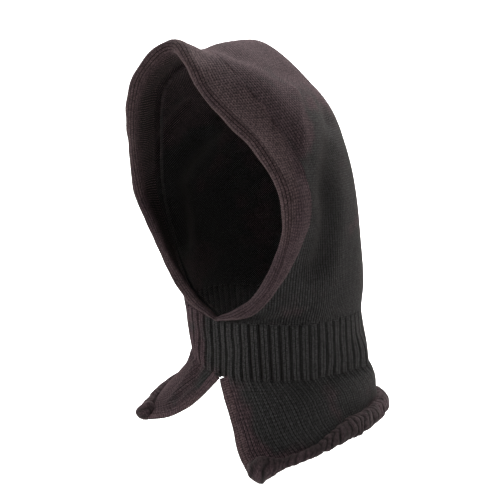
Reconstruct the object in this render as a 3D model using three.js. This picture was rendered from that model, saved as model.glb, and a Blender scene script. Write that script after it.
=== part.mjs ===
// A knitted wool balaclava with a neck rib and a short bib that opens at the front.
// Millimetres, +Z up, the face looks along -Y and +X is the wearer's left.
// The origin is the middle of the wearer's head, at eye level.
import * as THREE from "three";
import { ParametricGeometry } from "three/addons/geometries/ParametricGeometry.js";

// Overall sizes
const HALF_WIDTH = 100; // middle of the head to the widest part of the hood
const HALF_DEPTH = 110; // middle of the head to the back of the hood
const HOOD_HEIGHT = 266; // top of the neck rib to the crown
const NECK_DROP = 128; // eye level to the top of the neck rib at the front
const RIB_HEIGHT = 58; // the 2x2 rib band round the neck
const BIB_DROP = 60; // bottom of the rib to the hem at its front corners
const BIB_SPREAD = 115; // middle to the hem at the shoulders

// Thicknesses and widths of the knitting
const KNIT = 4; // stocking stitch, one layer
const RIB_KNIT = 5.5; // rib is springy and stands thicker
const BAND_THICKNESS = 10; // the face band is folded double
const HEM_ROLL = 17; // the hem rolls up outwards by itself
const HEM_ROLL_FRONT = 11; // it is thinner where the front is stretched
const HEM_TAPER = [0.1, 0.35]; // where it grows, as shares of the way round
const SLIT_EDGE_WIDTH = 10; // narrow turned edge down each side of the slit
const SLIT_EDGE_THICKNESS = 6;
const SEAM_RIDGE = 3.4; // a linked seam stands up like a cord on the inside
const GAP = 0.35; // clear space between neighbouring pieces
const HEM_CLEAR = 2.2; // from the rolled hem to the bib above it, for the bend at the corner

// Small pieces
const TACK = { width: 9, height: 3, depth: 2.4 }; // stitches that stop the slit tearing
const TACK_RISE = 3; // the foot of the rib to the middle of those stitches
const LABEL = { width: 26, height: 38, thickness: 0.8 };

// How finely the surfaces are divided
const ROUND_STEPS = 26; // front to centre back, one side
const RISE_STEPS = 22; // neck to crown
const RIB_STEPS = 3;
const BIB_STEPS = 8; // rib to hem
const HEM_STEPS = 36;
const SEAM_STEPS = 56;
const SEAM_GUIDES = 6; // points that a seam follows over the crown, and again down the back
const BIB_GUIDES = 4; // and below the rib
const RING_STEPS = 80; // once round the face opening
const BAND_SIDES = 14;
const CORD_SIDES = 10;
const END_SHARE = 0.001; // how near an end a slope is measured

const CHARCOAL = "#2d2b2b";
const CHARCOAL_BROWN = "#3a3032";
const LABEL_WHITE = "#d8d5cf";

const mirrored = (point, side = -1) =>
  new THREE.Vector3(side * point.x, point.y, point.z);

// A smooth line through points that end at the middle of the balaclava. One point of the
// other half is added, so that the line crosses the middle without a corner.
const smooth = (points) => {
  const last = points.length - 1;
  const curve = new THREE.CatmullRomCurve3(
    [...points, mirrored(points[last - 1])],
    false,
    "catmullrom",
  );
  return (share) => curve.getPoint((share * last) / (last + 1));
};

// Points given as shares of a width, a depth and a height: how far across, along and up.
const sized = (width, depth, height, base) => (points) =>
  points.map(
    ([across, along, up]) =>
      new THREE.Vector3(across * width, along * depth, base + up * height),
  );

// The left half of the hood is drawn through six lines, from the neck up to the crown. Each
// runs from the face band round to the centre back.
const onHood = sized(HALF_WIDTH, HALF_DEPTH, HOOD_HEIGHT, -NECK_DROP);

const hoodLines = [
  [
    [0, -0.435, 0],
    [0.41, -0.42, 0.02],
    [0.82, -0.115, 0.02],
    [0.91, 0.5, 0.005],
    [0.66, 0.9, -0.015],
    [0, 1, -0.02],
  ],
  [
    [0.54, -0.4, 0.1],
    [0.75, -0.255, 0.11],
    [0.91, 0.075, 0.12],
    [0.92, 0.55, 0.13],
    [0.65, 0.92, 0.135],
    [0, 1.02, 0.14],
  ],
  [
    [0.98, -0.365, 0.41],
    [1, -0.13, 0.405],
    [0.98, 0.18, 0.405],
    [0.88, 0.51, 0.415],
    [0.58, 0.83, 0.425],
    [0, 0.95, 0.44],
  ],
  [
    [0.8, -0.53, 0.64],
    [0.86, -0.31, 0.66],
    [0.86, -0.02, 0.675],
    [0.75, 0.36, 0.69],
    [0.49, 0.65, 0.705],
    [0, 0.8, 0.72],
  ],
  [
    [0.44, -0.73, 0.835],
    [0.52, -0.47, 0.85],
    [0.53, -0.16, 0.85],
    [0.49, 0.16, 0.855],
    [0.37, 0.43, 0.855],
    [0, 0.585, 0.865],
  ],
  [
    [0, -0.655, 0.921],
    [0, -0.42, 0.96],
    [0, -0.16, 0.99],
    [0, 0.08, 1],
    [0, 0.31, 0.965],
    [0, 0.48, 0.915],
  ],
].map(onHood);

// The folded front edge of the face band, from the chin up to the top of the forehead.
const faceEdge = onHood([
  [0, -0.49, 0.026],
  [0.2, -0.505, 0.045],
  [0.46, -0.505, 0.113],
  [0.67, -0.525, 0.207],
  [0.85, -0.565, 0.338],
  [0.925, -0.63, 0.432],
  [0.9, -0.685, 0.511],
  [0.77, -0.795, 0.613],
  [0.6, -0.92, 0.695],
  [0.45, -1.005, 0.767],
  [0.33, -1.02, 0.838],
  [0.15, -0.975, 0.902],
  [0, -0.945, 0.921],
]);

// The bib spreads out from the foot of the rib down to the hem.
const onBib = sized(BIB_SPREAD, HALF_DEPTH, BIB_DROP, -NECK_DROP - RIB_HEIGHT);

const bibLines = [
  // The foot of the rib, which is a little narrower at the front than its top
  onHood([
    [0, -0.435, 0],
    [0.38, -0.38, 0.02],
    [0.77, -0.055, 0.02],
    [0.93, 0.56, 0.005],
    [0.73, 0.95, -0.015],
    [0, 1.01, -0.02],
  ]).map((point) => point.setZ(point.z - RIB_HEIGHT)),
  ...[
    [
      [0.19, -0.527, -0.48],
      [0.52, -0.4, -0.26],
      [0.765, -0.07, -0.17],
      [0.9, 0.54, -0.27],
      [0.71, 0.99, -0.37],
      [0, 1.06, -0.4],
    ],
    [
      [0.4, -0.63, -0.85],
      [0.7, -0.45, -0.63],
      [0.87, -0.055, -0.52],
      [0.93, 0.53, -0.58],
      [0.74, 1.0, -0.65],
      [0, 1.08, -0.7],
    ],
    [
      [0.695, -0.78, -1],
      [0.86, -0.39, -0.87],
      [0.95, 0.01, -0.81],
      [0.96, 0.52, -0.85],
      [0.77, 1.01, -0.93],
      [0, 1.1, -0.97],
    ],
  ].map(onBib),
];

// A smooth surface through a set of lines: round runs along the lines, rise across them.
const hoodCurves = hoodLines.map(smooth);
const hood = (round, rise) => smooth(hoodCurves.map((each) => each(round)))(rise);

const bibCurves = bibLines.map(smooth);
const rib = (round, rise) => bibCurves[0](round).lerp(hoodCurves[0](round), rise);
const bib = (round, rise) =>
  new THREE.CatmullRomCurve3(
    bibCurves.map((each) => each(round)),
    false,
    "catmullrom",
  ).getPoint(1 - rise);

const faceEdgeAt = smooth(faceEdge);

// Away from the inside of the head: straight out round the neck and sides, and fanned over
// the crown.
const HEAD_AXIS_Y = 0.09 * HALF_DEPTH;
const CROWN_CENTRE_Z = 0.16 * HOOD_HEIGHT;
const outward = (point) =>
  new THREE.Vector3(
    point.x,
    point.y - HEAD_AXIS_Y,
    Math.max(0, point.z - CROWN_CENTRE_Z),
  ).normalize();

// Moves every corner of a geometry to place(corner).
const bend = (geometry, place) => {
  const position = geometry.getAttribute("position");
  const corner = new THREE.Vector3();
  for (let i = 0; i < position.count; i += 1) {
    corner.fromBufferAttribute(position, i);
    const placed = place(corner);
    position.setXYZ(i, placed.x, placed.y, placed.z);
  }
  geometry.computeVertexNormals();
  return geometry;
};

// Keeps a point just clear of the middle, where the other half begins.
const beside = (point) => point.setX(Math.max(point.x, GAP / 2));

// The share of a path at a distance along it from its start.
const STEP = 0.01;
const shareOf = (distance, path) => {
  let share = 0;
  let here = path(0);
  let left = distance;
  for (;;) {
    const next = path(share + STEP);
    const length = here.distanceTo(next);
    if (length >= left) return share + (STEP * left) / length;
    left -= length;
    share += STEP;
    here = next;
  }
};

const slope = (path, share) =>
  path(Math.min(1, share + END_SHARE))
    .sub(path(Math.max(0, share - END_SHARE)))
    .normalize();

// A knitted piece with a thickness, laid on one side of a surface. field turns shares of the
// piece's own width and height into shares of the surface.
const knitted = (surface, side, thickness, steps, field) =>
  bend(new THREE.BoxGeometry(1, 1, 1, steps[0], steps[1], 1), (corner) => {
    const point = surface(...field(0.5 + side * corner.x, 0.5 + corner.y));
    const inset = outward(point).multiplyScalar(thickness * (corner.z - 0.5));
    return mirrored(beside(point.add(inset)), side);
  });

// A cord laid along a path. section gives its size across and through the knitting at a share
// of the path, and how far its middle lies from the path, outward or (less than nothing)
// inward.
const cord = (path, side, section, steps) =>
  bend(
    new THREE.CylinderGeometry(0.5, 0.5, 1, CORD_SIDES, steps),
    (corner) => {
      const share = 0.5 + corner.y;
      const { wide, thick, lift } = section(share);
      const middle = path(share);
      const along = slope(path, share);
      const up = outward(middle);
      up.addScaledVector(along, -up.dot(along)).normalize();
      const across = new THREE.Vector3().crossVectors(along, up);
      middle.addScaledVector(up, lift + corner.z * thick);
      middle.addScaledVector(across, side * corner.x * wide);
      return mirrored(middle, side);
    },
  );

// A closed ring round the face. at(side, share) gives the middle of its section, half its
// width and half its thickness, for shares from the chin to the top.
const faceRing = (at, sides) =>
  new ParametricGeometry(
    (turn, roundSection, target) => {
      const side = turn % 1 < 0.5 ? 1 : -1;
      const { middle, width, thickness } = at(1 - Math.abs(1 - 2 * (turn % 1)));
      const angle = (roundSection % 1) * 2 * Math.PI;
      middle.addScaledVector(width, Math.cos(angle));
      middle.addScaledVector(thickness, Math.sin(angle));
      target.copy(mirrored(middle, side));
    },
    RING_STEPS,
    sides,
  );

const { lerp } = THREE.MathUtils;

// Hood halves: the two sides of the head, from the band to the centre back.
const hoodHalf = (side) =>
  knitted(hood, side, KNIT, [ROUND_STEPS, RISE_STEPS], (across, up) => {
    const rise = lerp(GAP / HOOD_HEIGHT, 1, up);
    const front = shareOf(2 * GAP, (share) => hood(share, rise));
    return [lerp(front, 1, across), rise];
  });

const ribHalf = (side) =>
  knitted(rib, side, RIB_KNIT, [ROUND_STEPS, RIB_STEPS], (across, up) => [
    across,
    lerp(GAP / RIB_HEIGHT, 1 - GAP / RIB_HEIGHT, up),
  ]);

// The bib stops short of the rolled hem below it and of the turned edge beside the slit.
const SLIT_SLANT = 1.3; // its width along a course, for each unit square across it
const hemTop = (round, drop) => shareOf(drop, (share) => bib(round, share));
const slitSide = (rise, width) => shareOf(width, (share) => bib(share, rise));
const rollAt = (round) =>
  lerp(HEM_ROLL_FRONT, HEM_ROLL, THREE.MathUtils.smoothstep(round, ...HEM_TAPER));

const bibHalf = (side) =>
  knitted(bib, side, KNIT, [ROUND_STEPS, BIB_STEPS], (across, up) => {
    const front = (rise) => slitSide(rise, SLIT_SLANT * SLIT_EDGE_WIDTH + GAP);
    const round = lerp(front(0), 1, across);
    const bottom = hemTop(round, rollAt(round) + HEM_CLEAR);
    const rise = lerp(bottom, 1 - GAP / BIB_DROP, up);
    return [lerp(front(rise), 1, across), rise];
  });

// The turned edge runs down aslant, so its square ends stop short of the rib and the hem.
const slitEdge = (side) => {
  const slant = SLIT_EDGE_WIDTH / 2;
  const bottom = hemTop(0, rollAt(0) + GAP + slant);
  const path = (share) => {
    const rise = lerp(bottom, 1 - slant / BIB_DROP, share);
    return bib(slitSide(rise, SLIT_EDGE_WIDTH / 2 + GAP), rise);
  };
  const section = () => ({
    wide: SLIT_EDGE_WIDTH,
    thick: SLIT_EDGE_THICKNESS,
    lift: 0,
  });
  return cord(path, side, section, 2 * BIB_STEPS);
};

const hemHalf = (side) => {
  const path = (share) => {
    const round = share * (1 - slitSide(0, GAP / 2));
    return bib(round, hemTop(round, rollAt(round) / 2));
  };
  const section = (share) => {
    const roll = rollAt(share);
    return { wide: roll, thick: roll, lift: roll / 2 - KNIT };
  };
  return cord(path, side, section, HEM_STEPS);
};

// Face band: knitted double, folded at the face edge and linked to the hood behind it. Its
// section is a rounded pad.
const faceBand = () =>
  faceRing((share) => {
    const edge = faceEdgeAt(share);
    const link = hood(0, share);
    const middle = edge.clone().lerp(link, 0.5);
    const width = link.clone().sub(edge).multiplyScalar(0.5);
    const thickness = new THREE.Vector3()
      .crossVectors(width, slope(faceEdgeAt, share))
      .setLength(BAND_THICKNESS / 2);
    width.setLength(width.length() - GAP);
    return { middle, width, thickness };
  }, BAND_SIDES);

// Linked seams stand up on the inside, clear of the thickest knitting.
const SEAM_DEPTH = RIB_KNIT + GAP + SEAM_RIDGE / 2;
const ridge = () => ({ wide: SEAM_RIDGE, thick: SEAM_RIDGE, lift: -SEAM_DEPTH });

const faceBandSeam = () =>
  faceRing((share) => {
    const path = (round) => hood(round, share);
    const middle = path(shareOf(SEAM_RIDGE, path));
    const inward = outward(middle).negate();
    const width = slope(path, 0);
    width.addScaledVector(inward, -width.dot(inward)).setLength(SEAM_RIDGE / 2);
    middle.addScaledVector(inward, SEAM_DEPTH);
    return { middle, width, thickness: inward.multiplyScalar(-SEAM_RIDGE / 2) };
  }, CORD_SIDES);

// The seam that joins the two halves starts behind the face band, goes over the crown and down
// the back to the hem.
const CROWN_START = 0.15; // how far over the crown, from the band, the seam starts
const centreSeam = () => {
  const points = [];
  for (let i = 0; i < SEAM_GUIDES; i += 1) {
    points.push(hood(lerp(CROWN_START, 1, i / SEAM_GUIDES), 1));
  }
  for (let i = SEAM_GUIDES - 1; i >= 1; i -= 1) {
    points.push(hood(1, i / SEAM_GUIDES));
  }
  points.push(rib(1, 1), rib(1, 0));
  for (let i = BIB_GUIDES - 1; i >= 1; i -= 1) points.push(bib(1, i / BIB_GUIDES));
  const curve = new THREE.CatmullRomCurve3(points);
  return cord((share) => curve.getPoint(share), 1, ridge, SEAM_STEPS);
};

// A short seam joins the two halves of the rib below the chin, clear of the band's seam.
const CHIN_CLEAR = 10;
const frontNeckSeam = () => {
  const top = 1 - CHIN_CLEAR / RIB_HEIGHT;
  return cord((share) => rib(0, lerp(0, top, share)), 1, ridge, RIB_STEPS);
};

// Satin stitches across the top of the slit, on the face of the rib.
const slitTack = () => {
  const tack = new THREE.BoxGeometry(TACK.width, TACK.depth, TACK.height);
  const front = rib(0, 0).y - GAP - TACK.depth / 2;
  return tack.translate(0, front, rib(0, 0).z + TACK_RISE);
};

// A blank fabric label, hanging inside the back of the neck from the centre seam.
const careLabel = () => {
  const label = new THREE.BoxGeometry(LABEL.width, LABEL.thickness, LABEL.height);
  const top = rib(1, 1);
  const inside = SEAM_DEPTH + SEAM_RIDGE + LABEL.thickness;
  return label.translate(0, top.y - inside, top.z - LABEL.height / 2);
};

const balaclava = new THREE.Group();
const add = (name, geometry, colour) => {
  const knit = { color: colour, roughness: 0.95, metalness: 0 };
  const mesh = new THREE.Mesh(geometry, new THREE.MeshStandardMaterial(knit));
  mesh.name = name;
  balaclava.add(mesh);
};

for (const [name, side] of [
  ["left", 1],
  ["right", -1],
]) {
  add(`hood_${name}`, hoodHalf(side), CHARCOAL);
  add(`neck_rib_${name}`, ribHalf(side), CHARCOAL);
  add(`bib_${name}`, bibHalf(side), CHARCOAL);
  add(`slit_edge_${name}`, slitEdge(side), CHARCOAL_BROWN);
  add(`rolled_hem_${name}`, hemHalf(side), CHARCOAL_BROWN);
}
add("face_band", faceBand(), CHARCOAL_BROWN);
add("face_band_seam", faceBandSeam(), CHARCOAL);
add("centre_seam", centreSeam(), CHARCOAL);
add("front_neck_seam", frontNeckSeam(), CHARCOAL);
add("slit_bar_tack", slitTack(), CHARCOAL);
add("care_label", careLabel(), LABEL_WHITE);

export default balaclava;
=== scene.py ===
import math

import bpy
import numpy as np
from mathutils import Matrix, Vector


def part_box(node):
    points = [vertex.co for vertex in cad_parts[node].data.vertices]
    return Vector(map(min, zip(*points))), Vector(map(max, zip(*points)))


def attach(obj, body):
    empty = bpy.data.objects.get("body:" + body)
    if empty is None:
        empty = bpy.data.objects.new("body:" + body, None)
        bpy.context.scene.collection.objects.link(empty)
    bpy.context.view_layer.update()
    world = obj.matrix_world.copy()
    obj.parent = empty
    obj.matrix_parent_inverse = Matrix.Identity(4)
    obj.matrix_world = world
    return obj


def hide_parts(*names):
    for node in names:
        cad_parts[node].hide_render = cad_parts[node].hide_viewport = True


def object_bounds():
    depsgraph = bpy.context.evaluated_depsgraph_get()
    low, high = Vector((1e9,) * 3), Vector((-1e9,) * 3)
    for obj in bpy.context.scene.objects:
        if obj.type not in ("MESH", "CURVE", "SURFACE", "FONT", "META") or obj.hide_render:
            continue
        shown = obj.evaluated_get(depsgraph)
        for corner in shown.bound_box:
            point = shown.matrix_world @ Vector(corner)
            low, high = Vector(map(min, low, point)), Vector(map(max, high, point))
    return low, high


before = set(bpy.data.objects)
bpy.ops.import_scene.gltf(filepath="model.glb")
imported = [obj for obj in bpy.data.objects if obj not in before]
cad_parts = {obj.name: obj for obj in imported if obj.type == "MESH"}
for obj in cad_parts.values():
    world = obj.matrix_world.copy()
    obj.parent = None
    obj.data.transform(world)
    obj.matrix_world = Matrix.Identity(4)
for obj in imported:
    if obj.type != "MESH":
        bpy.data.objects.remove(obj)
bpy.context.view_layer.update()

# Every shape below is worked out in millimetres, on the wearer's left, and the right is its
# mirror image. The wearer looks along -Y and +Z is up.
MM = 0.001

# The knitting
WALE = 2.6  # one column of stitches is this wide in 7-gauge wool
COURSE = 2.25  # one row is this high
FABRIC = 3.0  # one layer of stocking stitch is this thick
YARN_RELIEF = 1.0  # how far the legs of a stitch stand up from the gaps between them
LEAN = 0.3  # the legs of a stitch slope, from its middle up to its sides, by this much of a row
RIB_REPEAT = 4  # two plain columns, then two that sink back
RIB_PITCH = 9.5  # from one rib to the next
RIB_RISE = 1.9  # from the sunk columns up to the raised ones
RIB_MEAN = 0.75  # the share of that rise at which the rib meets the plain knitting
RIB_LEAN = 1.3 * LEAN  # stitches lean more where the rib is drawn in
RIB_RELIEF = 1.3 * YARN_RELIEF
UNEVEN = 0.6  # how far the fabric wanders in and out by itself
BIB_FOOT = 0.08  # the share of the bib that is rolled up in the hem
SLIT_CLEAR = 6.0  # the bib's columns start this far from the slit, under its turned edge
BAND_HALF = 5.2  # half the thickness of the folded face band
CHIN_NOTCH = 3.6  # how deep the band's edge dips at the chin
HEM_RADIUS = 4.6  # the rolled hem where the front stretches it
RIDGE_PITCH = 6.4  # from one ridge across the hem to the next
SLIT_EDGE_HALF = (5.2, 1.8)  # half the width and half the thickness of the slit's turned edge
SEAM_RADIUS = 1.6
SEAM_DEPTH = 7.55  # a seam's middle lies this far inside the surface
TWIST_PITCH = 5.2  # one turn of a seam's two yarns round each other
SATIN_THREAD = 0.55  # the bar tack's thread
WEAVE_PITCH = 0.8  # from one thread of the label tape to the next but one
TUCK = 0.5  # a piece runs this far on under the one it is joined to


# ---------------------------------------------------------------------------------------
# Lines and surfaces, the same as those of the CAD solids


def extent(node):
    """The lowest and highest corners of a CAD solid's box, in millimetres."""
    low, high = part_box(node)
    return np.array(low) / MM, np.array(high) / MM


def through(points, share, crossing=True):
    """A smooth line through points, at shares of the way along it. At its far end it crosses
    the middle of the balaclava square, or just runs out."""
    points = np.asarray(points, float)
    share = np.asarray(share, float)
    after = points[-2] * (-1, 1, 1) if crossing else 2 * points[-1] - points[-2]
    points = np.concatenate([[2 * points[0] - points[1]], points, [after]])
    place = np.clip(share, 0, 1) * (len(points) - 3) + 1
    result = 0
    for number, point in enumerate(points):
        reach = np.abs(place - number)
        near = 1 - 2.5 * reach**2 + 1.5 * reach**3
        far = 2 - 4 * reach + 2.5 * reach**2 - 0.5 * reach**3
        weight = np.where(reach < 1, near, np.where(reach < 2, far, 0))
        result = result + weight[..., None] * point
    return result


# The hood's left half, from the neck up to the crown. Each line runs from the face band round
# to the centre back, in shares of its half width, its half depth and its height.
HOOD_SHARES = np.array([
    [[0, -0.435, 0], [0.41, -0.42, 0.02], [0.82, -0.115, 0.02], [0.91, 0.5, 0.005],
     [0.66, 0.9, -0.015], [0, 1, -0.02]],
    [[0.54, -0.4, 0.1], [0.75, -0.255, 0.11], [0.91, 0.075, 0.12], [0.92, 0.55, 0.13],
     [0.65, 0.92, 0.135], [0, 1.02, 0.14]],
    [[0.98, -0.365, 0.41], [1, -0.13, 0.405], [0.98, 0.18, 0.405], [0.88, 0.51, 0.415],
     [0.58, 0.83, 0.425], [0, 0.95, 0.44]],
    [[0.8, -0.53, 0.64], [0.86, -0.31, 0.66], [0.86, -0.02, 0.675], [0.75, 0.36, 0.69],
     [0.49, 0.65, 0.705], [0, 0.8, 0.72]],
    [[0.44, -0.73, 0.835], [0.52, -0.47, 0.85], [0.53, -0.16, 0.85], [0.49, 0.16, 0.855],
     [0.37, 0.43, 0.855], [0, 0.585, 0.865]],
    [[0, -0.655, 0.921], [0, -0.42, 0.96], [0, -0.16, 0.99], [0, 0.08, 1],
     [0, 0.31, 0.965], [0, 0.48, 0.915]],
])

# The folded edge round the face, from the chin to the top of the forehead.
EDGE_SHARES = np.array([
    [0, -0.49, 0.026], [0.2, -0.505, 0.045], [0.46, -0.505, 0.113], [0.67, -0.525, 0.207],
    [0.85, -0.565, 0.338], [0.925, -0.63, 0.432], [0.9, -0.685, 0.511], [0.77, -0.795, 0.613],
    [0.6, -0.92, 0.695], [0.45, -1.005, 0.767], [0.33, -1.02, 0.838], [0.15, -0.975, 0.902],
    [0, -0.945, 0.921],
])

# The foot of the neck rib, in shares of the hood's sizes, one rib height below its place here.
RIB_FOOT_SHARES = np.array([
    [0, -0.435, 0], [0.38, -0.38, 0.02], [0.77, -0.055, 0.02], [0.93, 0.56, 0.005],
    [0.73, 0.95, -0.015], [0, 1.01, -0.02],
])

# The bib below the neck rib, down to the hem.
BIB_SHARES = np.array([
    [[0.19, -0.527, -0.48], [0.52, -0.4, -0.26], [0.765, -0.07, -0.17], [0.9, 0.54, -0.27],
     [0.71, 0.99, -0.37], [0, 1.06, -0.4]],
    [[0.4, -0.63, -0.85], [0.7, -0.45, -0.63], [0.87, -0.055, -0.52], [0.93, 0.53, -0.58],
     [0.74, 1.0, -0.65], [0, 1.08, -0.7]],
    [[0.695, -0.78, -1], [0.86, -0.39, -0.87], [0.95, 0.01, -0.81], [0.96, 0.52, -0.85],
     [0.77, 1.01, -0.93], [0, 1.1, -0.97]],
])


def fitted_sizes():
    """Half width, half depth, height and foot of the hood, from its CAD solid."""
    rounds, rises = np.meshgrid(np.linspace(0, 1, 60), np.linspace(0, 1, 60))
    shares = through(np.stack([through(line, rounds) for line in HOOD_SHARES]), rises)
    least, most = shares.min((0, 1)), shares.max((0, 1))
    low, high = extent("hood_left")
    height = (high[2] - low[2]) / (most[2] - least[2])
    return high[0] / most[0], high[1] / most[1], height, low[2] - least[2] * height


HALF_WIDTH, HALF_DEPTH, HOOD_HEIGHT, HOOD_FOOT = fitted_sizes()
RIB_FOOT = extent("neck_rib_left")[0][2] - extent("hood_left")[0][2] + HOOD_FOOT
RIB_HEIGHT = HOOD_FOOT - RIB_FOOT
BIB_SPREAD = 1.15 * HALF_WIDTH
BIB_DROP = 60.0

HOOD_SIZES = (HALF_WIDTH, HALF_DEPTH, HOOD_HEIGHT)
HOOD = HOOD_SHARES * HOOD_SIZES + (0, 0, HOOD_FOOT)
EDGE = EDGE_SHARES * HOOD_SIZES + (0, 0, HOOD_FOOT)
NECK = HOOD[0]
COLLAR = RIB_FOOT_SHARES * HOOD_SIZES + (0, 0, RIB_FOOT)
BIB = np.concatenate([
    [COLLAR],
    BIB_SHARES * (BIB_SPREAD, HALF_DEPTH, BIB_DROP) + (0, 0, RIB_FOOT),
])


def hood_at(around, rise):
    return through(np.stack([through(line, around) for line in HOOD]), rise)


def rib_at(around, rise):
    rise = rise[..., None]
    return through(COLLAR, around) * (1 - rise) + through(NECK, around) * rise


def bib_at(around, rise):
    lines = np.stack([through(line, around) for line in BIB])
    return through(lines, 1 - rise, crossing=False)


def unit(vectors):
    return vectors / np.maximum(np.linalg.norm(vectors, axis=-1, keepdims=True), 1e-9)


def facing(surface, around, rise, step=2e-3):
    """The way out from a surface."""
    across = surface(around + step, rise) - surface(around - step, rise)
    up = surface(around, rise + step) - surface(around, rise - step)
    return unit(np.cross(across, up))


def lengths(points):
    """Distances along lines of points, from the start of each."""
    steps = np.linalg.norm(np.diff(points, axis=-2), axis=-1)
    start = np.zeros(steps.shape[:-1] + (1,))
    return np.concatenate([start, np.cumsum(steps, axis=-1)], axis=-1)


def at_lengths(path, along, spots):
    """Points of a path at distances along it."""
    return np.stack([np.interp(spots, along, path[:, k]) for k in range(3)], -1)


def wander(points, wave, seed):
    """Smooth unevenness, about from -1 to 1, with waves of about this length."""
    dice = np.random.default_rng(seed)
    result = 0
    for _ in range(7):
        direction = unit(dice.normal(size=3)) * 2 * math.pi / (wave * dice.uniform(0.7, 1.4))
        result = result + np.sin(points @ direction + dice.uniform(0, 2 * math.pi))
    return result / 2.6


def nearness(points, line, wide):
    """1 at the spots of a line, fading away over about this width to each side of it."""
    nearest = np.full(points.shape[:-1], np.inf)
    for spot in line:
        nearest = np.minimum(nearest, ((points - spot) ** 2).sum(-1))
    return np.exp(-nearest / wide**2)


def bell(value, wide):
    """1 at 0, fading away over about this width to each side of it."""
    return np.exp(-((value / wide) ** 2))


def ease(value, low, high):
    """0 below low, 1 above high, and a soft change between them."""
    share = np.clip((value - low) / (high - low), 0, 1)
    return share * share * (3 - 2 * share)


# ---------------------------------------------------------------------------------------
# Stitches


def zigzag(wale):
    """1 between two columns of stitches, -1 down the middle of a column."""
    return 4 * np.abs(wale % 1 - 0.5) - 1


def plain(wale, course):
    """The plain side of the knitting: columns of V shapes, each V two sloping legs of yarn."""
    leg = np.abs(np.sin(2 * math.pi * wale))
    gap = np.cos(math.pi * wale) ** 2
    return 0.5 * leg + 0.2 * np.cos(2 * math.pi * course) - 0.6 * gap**2


def in_the_gaps(relief):
    """What the material reads: 1 on the yarn, less where the gaps between stitches sink, where
    the colour is darkened as painted shade.
    """
    return relief * 0.95 + 0.33


# ---------------------------------------------------------------------------------------
# Meshes


def numbered(shape, low, high, start=0):
    """Corner numbers for a grid. Columns before low and after high stand in for one corner."""
    rows, columns = np.indices(shape)
    columns = np.clip(columns, low[:, None], high[:, None])
    return start + rows * shape[1] + columns


def grid(numbers, frame_box):
    """Triangles over a grid of corners, with their places in a rectangle of the UV map."""
    left, foot, right, top = frame_box
    rows, columns = numbers.shape
    across, up = np.meshgrid(np.linspace(left, right, columns), np.linspace(foot, top, rows))
    places = np.stack([across, up], -1)
    quarters = [(slice(0, -1), slice(0, -1)), (slice(0, -1), slice(1, None)),
                (slice(1, None), slice(1, None)), (slice(1, None), slice(0, -1))]
    triangles, flat = [], []
    for order in ((0, 1, 2), (0, 2, 3)):
        triangles.append(np.stack([numbers[quarters[k]].ravel() for k in order], 1))
        flat.append(np.stack([places[quarters[k]].reshape(-1, 2) for k in order], 1))
    return np.concatenate(triangles), np.concatenate(flat)


def strip(first, second, frame_box):
    """Triangles that join two lines of corners, which may not have the same count."""
    left, foot, right, top = frame_box
    first = first[np.insert(np.diff(first) != 0, 0, True)]
    second = second[np.insert(np.diff(second) != 0, 0, True)]
    count, other = len(first) - 1, len(second) - 1
    triangles, flat = [], []
    i = j = 0
    while i < count or j < other:
        here = left + (right - left) * i / max(count, 1)
        there = left + (right - left) * j / max(other, 1)
        if j == other or (i < count and (i + 1) * other <= (j + 1) * count):
            step = left + (right - left) * (i + 1) / count
            triangles.append((first[i], first[i + 1], second[j]))
            flat.append(((here, foot), (step, foot), (there, top)))
            i += 1
        else:
            step = left + (right - left) * (j + 1) / other
            triangles.append((first[i], second[j + 1], second[j]))
            flat.append(((here, foot), (step, top), (there, top)))
            j += 1
    return np.array(triangles), np.array(flat)


def row_ends(before, after):
    """The first and last columns of each row of a grid: before and after tell which columns
    would fall short of the row's start and past its end."""
    low = np.maximum(before.sum(1) - 1, 0)
    return low, before.shape[1] - 1 - np.maximum(after.sum(1) - 1, 0)


def two_sided(face, back):
    """A sheet of knitting as one closed surface: its face, its back and the four edges that
    join them. face and back are grids of corner numbers."""
    parts = [grid(face, (0.01, 0.08, 0.64, 0.99)), grid(back, (0.67, 0.08, 0.99, 0.99))]
    parts[1] = (parts[1][0][:, ::-1], parts[1][1][:, ::-1])
    borders = [
        (face[0, ::-1], back[0, ::-1]),
        (face[-1], back[-1]),
        (face[:, 0], back[:, 0]),
        (face[::-1, -1], back[::-1, -1]),
    ]
    for number, (outside, inside) in enumerate(borders):
        left = 0.01 + 0.25 * number
        parts.append(strip(outside, inside, (left, 0.01, left + 0.22, 0.05)))
    return np.concatenate([p[0] for p in parts]), np.concatenate([p[1] for p in parts])


def brown_and_shade(points):
    """How brown the wool is made, from 0 to 1: more on the upper hood, the back, the face
    edge, the hem, both sides of the slit and the wearer's right. On the upper hood and the
    back this browner, lighter colour is partly the yarn's brown fibres and partly painted
    light. It falls to -1 in the hollow behind the face band, as painted shade that darkens
    the colour there. points are in millimetres."""
    level = points[:, 2]
    mirrored = np.abs(points[:, :1]) * (1, 0, 0) + points * (0, 1, 1)
    slit_line = bib_at(np.zeros(40), np.linspace(0, 1, 40))
    tint = np.max([
        0.85 * ease(level, -10, 80),
        0.65 * ease(points[:, 1], 35, 90) * ease(level, -100, -20),
        ease(-points[:, 1], 52, 66) * ease(level, -110, -60),
        0.8 * ease(-level, 216, 240),
        0.9 * nearness(mirrored, slit_line, 20),
        0.75 * ease(-points[:, 0], 4, 30) * ease(-points[:, 1], -40, 0),
    ], axis=0)
    # Painted shade: the colour is darkened along the hollow behind the face band
    hollow = through(HOLLOW, np.linspace(0.25, 1, 20), crossing=False)
    shade_in_hollow = nearness(mirrored, hollow, 22)
    return tint * (1 - shade_in_hollow) - shade_in_hollow


def placed(name, data):
    """A new object in the scene."""
    thing = bpy.data.objects.new(name, data)
    bpy.context.scene.collection.objects.link(thing)
    return thing


def in_a_row(values, kind=np.float32):
    """Values as mesh data takes them."""
    return np.ascontiguousarray(values, kind).ravel()


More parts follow.
